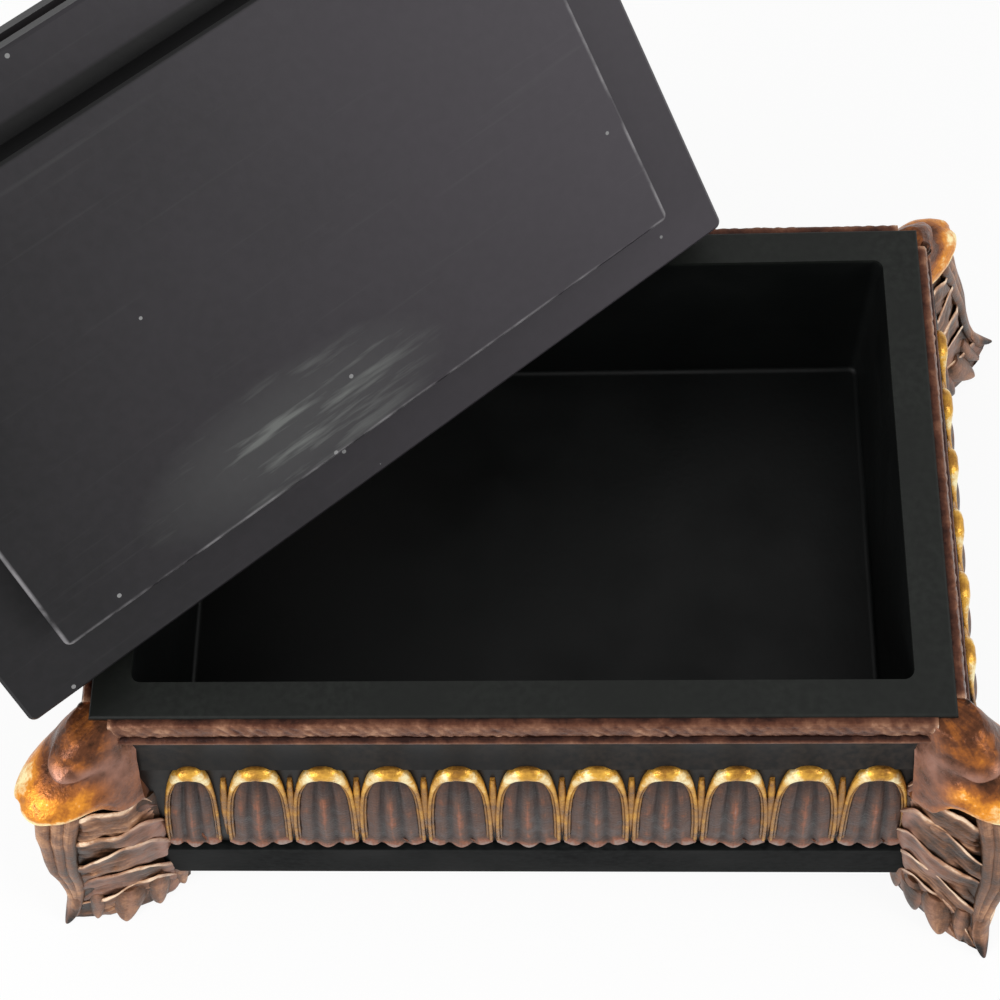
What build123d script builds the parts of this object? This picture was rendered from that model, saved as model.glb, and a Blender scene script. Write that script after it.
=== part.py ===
"""Trinket box with a lift-off lid: a cast box on a plinth, with copper mouldings,
friezes of tongues and an acanthus leaf foot at each corner. The lid lies off the box,
leaning on its rim with its underside and locating plug turned up.

Frame, in millimetres: the origin is the centre of the felt face under the box,
+X along the length, +Y from the front to the back, +Z up.
"""
from build123d import *
import os
from math import atan, cos, degrees, pi, radians, sin

# Box body
rim_length = 160.0
rim_width = 101.5
body_height = 53.6
cavity_depth = 49.0
end_wall = 7.3
long_wall = 7.0
cavity_corner_radius = 2.0
cavity_floor_radius = 1.2
rim_edge_radius = 0.6

# Plinth and underside
plinth_height = 17.6
plinth_projection = 13.6
plinth_batter = 1.1
plinth_edge_radius = 1.4
board_thickness = 3.0
board_gap = 1.5
felt_thickness = 1.0
felt_proud = 0.5
felt_inset = 0.3

# Copper mouldings under the rim
moulding_drop = 0.6
moulding_band_height = 4.4
moulding_groove = 0.5
moulding_bead = 2.0
moulding_projection = 3.3
moulding_batter = 1.0

# Black cove between the mouldings and the friezes
cove_height = 9.4
cove_top_projection = 1.9
cove_bottom_projection = 5.4
cove_hollow = 1.0

# Friezes of tongues
frieze_top_projection = 4.2
frieze_bottom_projection = 10.8
frieze_swell = 1.5
frieze_facets = 3
strip_end_gap = 3.6
tongue_pitch = 13.3
tongue_gap = 0.7
tongue_relief = 1.1
tongue_border = 1.7
tongue_foot_gap = 2.0
tongue_top_gap = 0.4
front_tongues = 11
side_tongues = 6
arch_facets = 6
scallop_depth = 0.9
scallops_per_tongue = 3

# Corner feet: each turns round a centre inside its corner, which it laps by foot_wrap.
# The reaches are measured from that centre, on the diagonal.
foot_drop = 8.8
foot_wrap = 7.0
outline_steps = 6
shoulder_top_drop = 1.6
shoulder_height = 31.0
shoulder_reach = 34.5
shoulder_side_share = 0.3
shoulder_bulge = 2.0
shoulder_roundness = 1.8
leaf_top_reach = 36.0
leaf_tip_reach = 42.0
leaf_side_share = 0.54
leaf_bulge = 1.0
leaf_roundness = 1.25
leaf_tiers = 5
leaf_tier_depth = 2.6
leaf_lip_share = 0.75
leaf_lobe_turn = 5.0
right_keel_turn = 14.0

# A shoulder's profile from top to bottom: the share of its height and of its reach
shoulder_profile = (
    (0.0, 0.42),
    (0.18, 0.62),
    (0.38, 0.86),
    (0.62, 0.98),
    (0.85, 1.0),
    (1.0, 0.94),
)

# Lid
lid_overhang = 1.6
lid_thickness = 15.6
lid_flange = 5.0
lid_strip_height = 4.4
lid_strip_inset = 1.2
lid_strip_width = 6.0
lid_corner_radius = 1.5
lid_edge_chamfer = 0.6
cornice_radius = 2.0
plug_clearance = 4.4
plug_height = 8.5
plug_corner_radius = 1.5
plug_edge_chamfer = 0.5
cushion_inset = 7.0
cushion_height = 14.0
cushion_top_length = 70.0
cushion_top_width = 24.0
cushion_swell = 4.0
collar_radius = 10.5
collar_height = 3.5
collar_chamfer = 1.5
finial_height = 22.0
finial_radius = 8.0
finial_stud_radius = 2.0
finial_stud_length = 8.0
finial_stud_gap = 0.05
finial_sides = 16

# The finial's profile from its seat to its tip: shares of its radius and of its height
finial_profile = (
    (0.8, 0.0),
    (0.8, 0.06),
    (0.45, 0.18),
    (0.7, 0.34),
    (1.0, 0.5),
    (0.95, 0.64),
    (0.6, 0.82),
    (0.08, 1.0),
)

# Where the lid leans: its turn over the box, its slope and the middle of its lower edge
lid_turn = 38.5
lid_slope = 52.5
lid_edge_x = -23.4
lid_edge_y = -3.5
lid_rest_gap = 0.3

# Heights
plinth_bottom = felt_proud
plinth_top = plinth_bottom + plinth_height
rim_top = plinth_top + body_height
sole = plinth_bottom - foot_drop
moulding_top = rim_top - moulding_drop
moulding_height = moulding_band_height + moulding_groove + moulding_bead
cove_top = moulding_top - moulding_height
frieze_top = cove_top - cove_height
shoulder_top = rim_top - shoulder_top_drop
shoulder_bottom = shoulder_top - shoulder_height


# Outlines
lid_length = rim_length + 2 * lid_overhang
lid_width = rim_width + 2 * lid_overhang
plinth_length = rim_length + 2 * plinth_projection
plinth_width = rim_width + 2 * plinth_projection
rebate_depth = board_thickness + felt_thickness - felt_proud

up = Vector(0, 0, 1)
os.makedirs("parts", exist_ok=True)


def save(piece, name):
    """Label a finished piece and write it to its own file."""
    piece.part.label = name
    export_step(piece.part, f"parts/{name}.step")
    return piece.part


# Box body: a rectangular shell, open at the top, that stands on the plinth
with BuildPart() as box_body:
    with BuildSketch(Plane.XY.offset(plinth_top)):
        Rectangle(rim_length, rim_width)
    extrude(amount=body_height)
    rim_face = box_body.faces().sort_by(Axis.Z)[-1]
    fillet(rim_face.edges(), rim_edge_radius)
    with BuildSketch(Plane.XY.offset(rim_top)):
        RectangleRounded(
            rim_length - 2 * end_wall,
            rim_width - 2 * long_wall,
            cavity_corner_radius,
        )
    extrude(amount=-cavity_depth, mode=Mode.SUBTRACT)
    cavity_floor = box_body.faces().filter_by(Plane.XY).group_by(Axis.Z)[1]
    fillet(cavity_floor.edges(), cavity_floor_radius)
save(box_body, "box_body")

# Plinth: a battered board with a rounded top edge, rebated underneath for its base board
board_length = rim_length - 2 * (foot_wrap + board_gap)
board_width = rim_width - 2 * (foot_wrap + board_gap)
with BuildPart() as plinth:
    with BuildSketch(Plane.XY.offset(plinth_bottom)):
        Rectangle(plinth_length, plinth_width)
    extrude(amount=plinth_height, taper=degrees(atan(plinth_batter / plinth_height)))
    fillet(plinth.faces().sort_by(Axis.Z)[-1].edges(), plinth_edge_radius)
    with BuildSketch(Plane.XY.offset(plinth_bottom)):
        Rectangle(board_length, board_width)
    extrude(amount=rebate_depth, mode=Mode.SUBTRACT)
save(plinth, "plinth")

with BuildPart() as base_board:
    with BuildSketch(Plane.XY.offset(felt_thickness)):
        Rectangle(board_length, board_width)
    extrude(amount=board_thickness)
save(base_board, "base_board")

with BuildPart() as base_felt:
    with BuildSketch(Plane.XY):
        Rectangle(board_length - 2 * felt_inset, board_width - 2 * felt_inset)
    extrude(amount=felt_thickness)
save(base_felt, "base_felt")


# The four sides: the outward direction, the length, the wall's distance and the tongues
sides = {
    "front": (Vector(0, -1, 0), rim_length, rim_width / 2, front_tongues),
    "back": (Vector(0, 1, 0), rim_length, rim_width / 2, front_tongues),
    "left": (Vector(-1, 0, 0), rim_width, rim_length / 2, side_tongues),
    "right": (Vector(1, 0, 0), rim_width, rim_length / 2, side_tongues),
}


def moulding_outline():
    """Draw a copper moulding's section: a sloping band, a groove and a bead."""
    inner = moulding_projection - moulding_batter
    groove_top = moulding_top - moulding_band_height
    bead_top = groove_top - moulding_groove
    bead_middle = (moulding_projection, bead_top - moulding_bead / 2)
    with BuildSketch() as outline:
        with BuildLine():
            Polyline(
                (0, moulding_top),
                (inner, moulding_top),
                (moulding_projection, groove_top),
                (inner, groove_top),
                (inner, bead_top),
            )
            ThreePointArc((inner, bead_top), bead_middle, (inner, cove_top))
            Polyline((inner, cove_top), (0, cove_top), (0, moulding_top))
        make_face()
    return outline.sketch


def cove_outline():
    """Draw the cove's section: a hollow that spreads from the moulding to the frieze."""
    top = (cove_top_projection, cove_top)
    bottom = (cove_bottom_projection, frieze_top)
    hollow = (
        (cove_top_projection + cove_bottom_projection) / 2 - cove_hollow,
        (cove_top + frieze_top) / 2,
    )
    with BuildSketch() as outline:
        with BuildLine():
            ThreePointArc(top, hollow, bottom)
            Polyline(bottom, (0, frieze_top), (0, cove_top), top)
        make_face()
    return outline.sketch


def frieze_outline(relief):
    """Draw a frieze's section, its swelling front standing out by the given relief."""
    drop = frieze_top - plinth_top
    spread = frieze_bottom_projection - frieze_top_projection
    front = []
    for facet in range(frieze_facets + 1):
        share = facet / frieze_facets
        swell = 4 * frieze_swell * share * (1 - share)
        front.append((
            frieze_top_projection + relief + spread * share + swell,
            frieze_top - drop * share,
        ))
    with BuildSketch() as outline:
        with BuildLine():
            Polyline(*front, (0, plinth_top), (0, frieze_top), close=True)
        make_face()
    return outline.sketch


def tongue_outline(border, scallop):
    """Draw one tongue, a faceted arch with a scalloped foot, drawn in by the border's width."""
    radius = (tongue_pitch - tongue_gap) / 2 - border
    spring = frieze_top - tongue_top_gap - border - radius
    base = plinth_top + tongue_foot_gap + border
    points = []
    for facet in range(arch_facets + 1):
        turn = pi * facet / arch_facets
        points.append((radius * cos(turn), spring + radius * sin(turn)))
    for number in range(2 * scallops_per_tongue + 1):
        drop = scallop * (number % 2)
        points.append((-radius + number * radius / scallops_per_tongue, base - drop))
    with BuildSketch() as outline:
        with BuildLine():
            Polyline(*points, close=True)
        make_face()
    return outline.sketch


tongue = tongue_outline(0, scallop_depth)
tongue_field = tongue_outline(tongue_border, 0)

# Copper mouldings, coves and friezes: one strip of each on every side of the box
strips = []
for side, (outward, length, distance, tongues) in sides.items():
    section = Plane(outward * distance, x_dir=outward, z_dir=outward.cross(up))
    wall = Plane(outward * distance, x_dir=up.cross(outward), z_dir=outward)
    half_strip = length / 2 - strip_end_gap
    middle_tongue = (tongues - 1) / 2

    with BuildPart() as moulding:
        with BuildSketch(section):
            add(moulding_outline())
        extrude(amount=half_strip, both=True)
    strips.append(save(moulding, f"{side}_moulding"))

    with BuildPart() as cove:
        with BuildSketch(section):
            add(cove_outline())
        extrude(amount=half_strip, both=True)
    strips.append(save(cove, f"{side}_cove"))

    places = [((number - middle_tongue) * tongue_pitch, 0) for number in range(tongues)]
    with BuildPart() as frieze:
        with BuildSketch(section):
            add(frieze_outline(tongue_relief))
        extrude(amount=half_strip, both=True)
        with BuildSketch(wall):
            with Locations(*places):
                add(tongue)
                add(tongue_field, mode=Mode.SUBTRACT)
        extrude(amount=2 * frieze_bottom_projection, mode=Mode.INTERSECT)
        with BuildSketch(section):
            add(frieze_outline(0))
        extrude(amount=half_strip, both=True)
    strips.append(save(frieze, f"{side}_frieze"))


def faceted_solid(rings):
    """Close rings of points, one beyond another, into a solid with flat facets."""
    facets = [Face(Wire.make_polygon(rings[0])), Face(Wire.make_polygon(rings[-1]))]
    for near, far in zip(rings, rings[1:]):
        for place in range(len(near)):
            before = place - 1
            facets.append(Face(Wire.make_polygon([near[before], near[place], far[place]])))
            facets.append(Face(Wire.make_polygon([near[before], far[place], far[before]])))
    return Solid(Shell(facets))


def foot_ring(corner, level, reach, form, lobe_turn=0.0, keel_turn=0.0):
    """List the points of a foot's level outline, turning round its centre inside a corner.

    It stands out by reach on its keel and, by its form, by a share of that towards the
    margins, which lap along the two faces by lobe_turn degrees. The keel is on the
    diagonal, or keel_turn degrees nearer the front.
    """
    side_share, bulge, roundness = form
    centre_x = corner[0] * (rim_length / 2 - foot_wrap)
    centre_y = corner[1] * (rim_width / 2 - foot_wrap)
    points = [Vector(centre_x, centre_y, level)]
    for step in range(-outline_steps, outline_steps + 1):
        t = step / outline_steps
        turn = radians(45 + (45 + lobe_turn) * t + keel_turn * (1 - abs(t)))
        share = side_share + (1 - side_share) * (1 - abs(t) ** bulge) ** roundness
        points.append(Vector(
            centre_x + corner[0] * reach * share * cos(turn),
            centre_y + corner[1] * reach * share * sin(turn),
            level,
        ))
    return points


shoulder_form = (shoulder_side_share, shoulder_bulge, shoulder_roundness)
leaf_form = (leaf_side_share, leaf_bulge, leaf_roundness)

# The leaf's profile: tiers of lobes, each swelling to a lip that overhangs the next
leaf_height = shoulder_bottom - sole
tier_height = leaf_height / leaf_tiers
leaf_profile = []
for tier in range(leaf_tiers):
    for share, swell in ((0, 0), (leaf_lip_share, 1)):
        level = (tier + share) / leaf_tiers
        reach = leaf_top_reach + (leaf_tip_reach - leaf_top_reach) * level
        leaf_profile.append((level, reach - leaf_tier_depth * (1 - swell), swell))
leaf_profile.append((1, leaf_tip_reach - leaf_tier_depth, 0))

# Corner feet: each a swelling shoulder over a tiered acanthus leaf that spreads to its tip
corners = {
    "front_left": (-1, -1, 0.0),
    "front_right": (1, -1, right_keel_turn),
    "back_left": (-1, 1, 0.0),
    "back_right": (1, 1, 0.0),
}
for place, (corner_x, corner_y, keel_turn) in corners.items():
    corner = (corner_x, corner_y)
    rings = []
    for depth, share in shoulder_profile:
        level = shoulder_top - depth * shoulder_height
        rings.append(foot_ring(corner, level, share * shoulder_reach, shoulder_form))
    with BuildPart() as shoulder:
        add(faceted_solid(rings))
        add([box_body.part, *strips], mode=Mode.SUBTRACT)
    save(shoulder, f"{place}_shoulder")

    rings = []
    for share, reach, swell in leaf_profile:
        level = shoulder_bottom - share * leaf_height
        turns = (swell * leaf_lobe_turn, share * keel_turn)
        rings.append(foot_ring(corner, level, reach, leaf_form, *turns))
    with BuildPart() as leaf:
        add(faceted_solid(rings))
        add([box_body.part, plinth.part, *strips], mode=Mode.SUBTRACT)
    save(leaf, f"{place}_leaf")


# The lid's own frame: the middle of its lower edge, x along it and y up the slope, with z
# out of its underside. The cornice's rounded edge, its lowest, leans on the rim.
turn = radians(lid_turn)
slope = radians(lid_slope)
lid_edge = Vector(cos(turn), sin(turn), 0)
lid_rise = Vector(-sin(turn) * cos(slope), cos(turn) * cos(slope), sin(slope))
round_drop = (lid_thickness - cornice_radius) * cos(slope) + cornice_radius * (1 - sin(slope))
lid_edge_height = rim_top + lid_rest_gap + round_drop
lid_frame = Plane(
    Vector(lid_edge_x, lid_edge_y, lid_edge_height) + lid_rise * (lid_width / 2),
    x_dir=lid_edge,
    z_dir=lid_edge.cross(lid_rise),
)
lid_axis = Axis(lid_frame.origin, lid_frame.z_dir)


def lid_ring(length, width, level, corners=4):
    """List a ring of points about the lid's axis, from the rectangle or circle it fits in."""
    stretch = 1 / cos(pi / corners) if corners == 4 else 1
    points = []
    for number in range(corners):
        angle = 2 * pi * (number + 0.5) / corners
        points.append(
            lid_frame.origin
            + lid_frame.x_dir * (length / 2 * stretch * cos(angle))
            + lid_frame.y_dir * (width / 2 * stretch * sin(angle))
            + lid_frame.z_dir * level
        )
    return points


strip_level = -lid_flange
cornice_level = strip_level - lid_strip_height
cushion_level = -lid_thickness

# Lid panel: the flange that seats on the rim
with BuildPart() as lid_panel:
    with BuildSketch(lid_frame):
        RectangleRounded(lid_length, lid_width, lid_corner_radius)
    extrude(amount=-lid_flange)
    chamfer(lid_panel.faces().filter_by(lid_frame).edges(), lid_edge_chamfer)
save(lid_panel, "lid_panel")

# Plug: the raised field under the lid that drops into the box
plug_length = rim_length - 2 * (end_wall + plug_clearance)
plug_width = rim_width - 2 * (long_wall + plug_clearance)
with BuildPart() as lid_plug:
    with BuildSketch(lid_frame):
        RectangleRounded(plug_length, plug_width, plug_corner_radius)
    extrude(amount=plug_height)
    chamfer(lid_plug.faces().sort_by(lid_axis)[-1].edges(), plug_edge_chamfer)
save(lid_plug, "lid_plug")

# Lid strips: copper lengths round the lid's edge, the short ones between the long ones
strip_ring_length = lid_length - 2 * lid_strip_inset
strip_ring_width = lid_width - 2 * lid_strip_inset
long_strip_shift = (strip_ring_width - lid_strip_width) / 2
short_strip_shift = (strip_ring_length - lid_strip_width) / 2
short_strip_length = strip_ring_width - 2 * lid_strip_width
lid_strips = {
    "lid_lower_strip": (0, -long_strip_shift, strip_ring_length, lid_strip_width),
    "lid_upper_strip": (0, long_strip_shift, strip_ring_length, lid_strip_width),
    "lid_left_strip": (-short_strip_shift, 0, lid_strip_width, short_strip_length),
    "lid_right_strip": (short_strip_shift, 0, lid_strip_width, short_strip_length),
}
for name, (x, y, strip_length, strip_width) in lid_strips.items():
    with BuildPart() as lid_strip:
        with BuildSketch(lid_frame.offset(strip_level)):
            with Locations((x, y)):
                Rectangle(strip_length, strip_width)
        extrude(amount=-lid_strip_height)
    save(lid_strip, name)

# Lid core: the board inside the strips
with BuildPart() as lid_core:
    with BuildSketch(lid_frame.offset(strip_level)):
        Rectangle(strip_ring_length - 2 * lid_strip_width, short_strip_length)
    extrude(amount=-lid_strip_height)
save(lid_core, "lid_core")

# Cornice: the lid's upper board, with a rounded outer edge
with BuildPart() as lid_cornice:
    with BuildSketch(lid_frame.offset(cornice_level)):
        RectangleRounded(lid_length, lid_width, lid_corner_radius)
    extrude(amount=cushion_level - cornice_level)
    fillet(lid_cornice.faces().sort_by(lid_axis)[0].edges(), cornice_radius)
save(lid_cornice, "lid_cornice")

# Cushion: the swelling hipped top, drilled for the finial's stud
cushion_base_length = lid_length - 2 * cushion_inset
cushion_base_width = lid_width - 2 * cushion_inset
swell_length = (cushion_base_length + cushion_top_length) / 2 + 2 * cushion_swell
swell_width = (cushion_base_width + cushion_top_width) / 2 + 2 * cushion_swell
rings = [
    lid_ring(cushion_base_length, cushion_base_width, cushion_level),
    lid_ring(swell_length, swell_width, cushion_level - cushion_height / 2),
    lid_ring(cushion_top_length, cushion_top_width, cushion_level - cushion_height),
]
with BuildPart() as lid_cushion:
    add(faceted_solid(rings))
    with BuildSketch(lid_frame.offset(cushion_level - cushion_height)):
        Circle(finial_stud_radius + finial_stud_gap)
    extrude(amount=finial_stud_length, mode=Mode.SUBTRACT)
save(lid_cushion, "lid_cushion")

# Finial: a turned bud on a collar, held by its stud
collar_level = cushion_level - cushion_height
finial_level = collar_level - collar_height
with BuildPart() as finial_collar:
    with BuildSketch(lid_frame.offset(collar_level)):
        Circle(collar_radius)
        Circle(finial_stud_radius + finial_stud_gap, mode=Mode.SUBTRACT)
    extrude(amount=-collar_height)
    collar_rim = finial_collar.faces().sort_by(lid_axis)[0].outer_wire()
    chamfer(collar_rim.edges(), collar_chamfer)
save(finial_collar, "finial_collar")

rings = []
for share, height in finial_profile:
    width = 2 * finial_radius * share
    rings.append(lid_ring(width, width, finial_level - finial_height * height, finial_sides))
with BuildPart() as finial:
    add(faceted_solid(rings))
    with BuildSketch(lid_frame.offset(finial_level)):
        Circle(finial_stud_radius)
    extrude(amount=collar_height + finial_stud_length)
save(finial, "finial")
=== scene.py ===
"""The trinket box's looks: worn black resin, copper mouldings, gilt tongues and carved
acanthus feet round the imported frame, seen from above its front as in the photograph.

Forms are written in millimetres in the frame's axes: the origin is the centre of the felt
under the box, with X along its length, Y towards the back and Z up. One millimetre is MM.
"""
import math
import random
from collections import namedtuple
import bpy
from mathutils import Euler, Matrix, Vector, noise


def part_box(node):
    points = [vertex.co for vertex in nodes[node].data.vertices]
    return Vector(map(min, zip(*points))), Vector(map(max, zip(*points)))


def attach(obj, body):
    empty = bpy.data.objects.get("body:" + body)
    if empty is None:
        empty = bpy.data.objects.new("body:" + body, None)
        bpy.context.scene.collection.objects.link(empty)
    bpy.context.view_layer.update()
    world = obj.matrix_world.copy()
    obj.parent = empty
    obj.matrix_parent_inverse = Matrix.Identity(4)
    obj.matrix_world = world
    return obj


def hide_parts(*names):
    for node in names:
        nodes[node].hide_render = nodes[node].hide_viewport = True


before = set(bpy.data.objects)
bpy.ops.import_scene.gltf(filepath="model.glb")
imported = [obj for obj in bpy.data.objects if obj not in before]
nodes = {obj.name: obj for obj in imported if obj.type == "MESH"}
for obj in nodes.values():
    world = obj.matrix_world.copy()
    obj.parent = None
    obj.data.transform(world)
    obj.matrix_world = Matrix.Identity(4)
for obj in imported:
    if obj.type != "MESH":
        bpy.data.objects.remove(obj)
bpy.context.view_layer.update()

MM = 0.001
scene = bpy.context.scene

# Places read from the frame, in millimetres
body_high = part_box("box_body")[1] / MM
moulding_low, moulding_high = (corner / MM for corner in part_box("front_moulding"))
half_length = body_high.x
half_width = body_high.y
rim_top = body_high.z
frieze_top = (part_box("front_frieze")[1] / MM).z
hood_top = (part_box("front_left_shoulder")[1] / MM).z
plinth_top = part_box("plinth")[1].z / MM
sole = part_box("front_left_leaf")[0].z / MM


# Shader nodes
def calculate(tree, operation, first, second, clamp=False):
    """A math node on two values, each a socket or a number."""
    node = tree.nodes.new("ShaderNodeMath")
    node.operation = operation
    node.use_clamp = clamp
    for socket, value in zip(node.inputs, (first, second)):
        if isinstance(value, (int, float)):
            socket.default_value = value
        else:
            tree.links.new(value, socket)
    return node.outputs[0]


def multiply(tree, first, second, clamp=False):
    """Two values multiplied."""
    return calculate(tree, "MULTIPLY", first, second, clamp)


def mix_shaders(tree, factor, first, second):
    """The first shader where the factor is 0 and the second where it is 1."""
    mix = tree.nodes.new("ShaderNodeMixShader")
    for socket, value in zip(mix.inputs, (factor, first, second)):
        tree.links.new(value, socket)
    return mix.outputs[0]


# Camera and lights, in metres
def make_camera():
    """Above the front edge and a little to the right, as fitted to the photographed rim."""
    lens_mm = 69.1
    place = Vector((0.01983, -0.14812, rim_top * MM + 0.34195))
    aim = Euler((math.radians(24.73), math.radians(3.6), math.radians(0.855)), "XYZ")
    data = bpy.data.cameras.new("portrait_camera")
    data.lens = lens_mm
    data.sensor_width = 36
    data.shift_y = -0.08
    camera = bpy.data.objects.new("portrait_camera", data)
    camera.location = place
    camera.rotation_euler = aim
    scene.collection.objects.link(camera)
    scene.camera = camera


def make_lamp(name, place, power, size=0.5):
    """A square softbox at a place, turned to the box."""
    data = bpy.data.lights.new(name, "AREA")
    data.shape = "SQUARE"
    data.size = size
    data.energy = power
    lamp = bpy.data.objects.new(name, data)
    lamp.location = place
    lamp.rotation_euler = (-Vector(place)).to_track_quat("-Z", "Y").to_euler()
    scene.collection.objects.link(lamp)


def seen_or_mirrored(tree):
    """1 for a ray from the camera, a reflection or a clear material, 0 for the light itself."""
    rays = tree.nodes.new("ShaderNodeLightPath")
    seen = calculate(tree, "MAXIMUM", rays.outputs["Is Camera Ray"], rays.outputs["Is Glossy Ray"])
    return calculate(tree, "MAXIMUM", seen, rays.outputs["Is Transmission Ray"])


def make_world(strength):
    """Pale even light from all round, before a white backdrop."""
    world = bpy.data.worlds.new("studio")
    world.use_nodes = True
    tree = world.node_tree
    tree.nodes.clear()
    output = tree.nodes.new("ShaderNodeOutputWorld")
    whites = []
    for power in (strength, 1.0):
        white = tree.nodes.new("ShaderNodeBackground")
        white.inputs["Color"].default_value = (1, 1, 1, 1)
        white.inputs["Strength"].default_value = power
        whites.append(white.outputs[0])
    mix = mix_shaders(tree, seen_or_mirrored(tree), *whites)
    tree.links.new(mix, output.inputs["Surface"])
    scene.world = world


def make_floor():
    """A white tabletop just under the soles, clear from below."""
    sole_gap = 0.15
    white_share = 0.91
    bpy.ops.mesh.primitive_plane_add(size=12.0, location=(0, 0, (sole - sole_gap) * MM))
    table = bpy.context.object
    table.name = "tabletop"
    material, tree, shader = new_material("white_tabletop")
    shader.inputs["Base Color"].default_value = (0.9, 0.9, 0.9, 1)
    shader.inputs["Roughness"].default_value = 0.8
    shader.inputs["Specular IOR Level"].default_value = 0.1
    glow = tree.nodes.new("ShaderNodeEmission")
    share = multiply(tree, seen_or_mirrored(tree), white_share)
    above = mix_shaders(tree, share, shader.outputs[0], glow.outputs[0])
    geometry = tree.nodes.new("ShaderNodeNewGeometry")
    clear = tree.nodes.new("ShaderNodeBsdfTransparent")
    both = mix_shaders(tree, geometry.outputs["Backfacing"], above, clear.outputs[0])
    tree.links.new(both, tree.nodes["Material Output"].inputs["Surface"])
    table.data.materials.append(material)


# Shared shader effects
def new_group(name, inputs, output):
    """An empty node group with named value inputs and one output."""
    group = bpy.data.node_groups.new(name, "ShaderNodeTree")
    for title in inputs:
        group.interface.new_socket(title, in_out="INPUT", socket_type="NodeSocketFloat")
    group.interface.new_socket(output, in_out="OUTPUT", socket_type="NodeSocketFloat")
    return group, group.nodes.new("NodeGroupInput"), group.nodes.new("NodeGroupOutput")


def make_streak_group():
    """Fine streaks that run along a piece, from its grain attribute."""
    group, entry, exit_node = new_group("streaks", ["Density"], "Streaks")
    grain = group.nodes.new("ShaderNodeAttribute")
    grain.attribute_name = "grain"
    stretch = group.nodes.new("ShaderNodeVectorMath")
    stretch.operation = "MULTIPLY"
    stretch.inputs[1].default_value = (5, 34, 19)
    grade = group.nodes.new("ShaderNodeTexNoise")
    grade.inputs["Detail"].default_value = 4
    group.links.new(grain.outputs["Vector"], stretch.inputs[0])
    group.links.new(stretch.outputs[0], grade.inputs["Vector"])
    group.links.new(entry.outputs["Density"], grade.inputs["Scale"])
    group.links.new(grade.outputs["Fac"], exit_node.inputs["Streaks"])
    return group


def make_blotch_group():
    """Cloudy patches in the object's own space, spread between two levels."""
    group, entry, exit_node = new_group("blotches", ["Scale", "Low", "High"], "Blotches")
    place = group.nodes.new("ShaderNodeTexCoord")
    cloud = group.nodes.new("ShaderNodeTexNoise")
    cloud.inputs["Detail"].default_value = 5
    spread = group.nodes.new("ShaderNodeMapRange")
    group.links.new(place.outputs["Object"], cloud.inputs["Vector"])
    group.links.new(entry.outputs["Scale"], cloud.inputs["Scale"])
    group.links.new(cloud.outputs["Fac"], spread.inputs["Value"])
    group.links.new(entry.outputs["Low"], spread.inputs["From Min"])
    group.links.new(entry.outputs["High"], spread.inputs["From Max"])
    group.links.new(spread.outputs[0], exit_node.inputs["Blotches"])
    return group


def make_speck_group():
    """Scattered grains of dust, one where a random cell is under the share."""
    group, entry, exit_node = new_group("specks", ["Scale", "Size", "Share"], "Specks")
    place = group.nodes.new("ShaderNodeTexCoord")
    cells = group.nodes.new("ShaderNodeTexVoronoi")
    group.links.new(place.outputs["Object"], cells.inputs["Vector"])
    group.links.new(entry.outputs["Scale"], cells.inputs["Scale"])
    near = calculate(group, "LESS_THAN", cells.outputs["Distance"], entry.outputs["Size"])
    pick = calculate(group, "LESS_THAN", cells.outputs["Color"], entry.outputs["Share"])
    both = multiply(group, near, pick)
    group.links.new(both, exit_node.inputs["Specks"])
    return group


streaks = make_streak_group()
blotches = make_blotch_group()
specks = make_speck_group()


def new_material(name):
    """A material, its node tree and its shader."""
    material = bpy.data.materials.new(name)
    material.use_nodes = True
    tree = material.node_tree
    return material, tree, tree.nodes["Principled BSDF"]


def effect(tree, group, *values):
    """A shared effect in a tree, its inputs set in order."""
    node = tree.nodes.new("ShaderNodeGroup")
    node.node_tree = group
    for socket, value in zip(node.inputs, values):
        socket.default_value = value
    return node.outputs[0]


def blend(tree, factor, first, second):
    """A colour mixed from one to the other, each a socket or a colour."""
    node = tree.nodes.new("ShaderNodeMix")
    node.data_type = "RGBA"
    if isinstance(factor, (int, float)):
        node.inputs["Factor"].default_value = factor
    else:
        tree.links.new(factor, node.inputs["Factor"])
    for title, value in (("A", first), ("B", second)):
        socket = next(s for s in node.inputs if s.name == title and s.type == "RGBA")
        if isinstance(value, tuple):
            socket.default_value = (*value, 1)
        else:
            tree.links.new(value, socket)
    return next(s for s in node.outputs if s.type == "RGBA")


def add_bump(tree, shader, height, strength, distance):
    """A fine relief on a shader, its distance in millimetres."""
    bump = tree.nodes.new("ShaderNodeBump")
    bump.inputs["Strength"].default_value = strength
    bump.inputs["Distance"].default_value = distance * MM
    tree.links.new(height, bump.inputs["Height"])
    tree.links.new(bump.outputs[0], shader.inputs["Normal"])


# Rosy colour: partly tarnish, partly a painted pinkish highlight on ridges and lobe ends
rosy_tarnish_and_highlight = (0.33, 0.17, 0.125)


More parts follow.
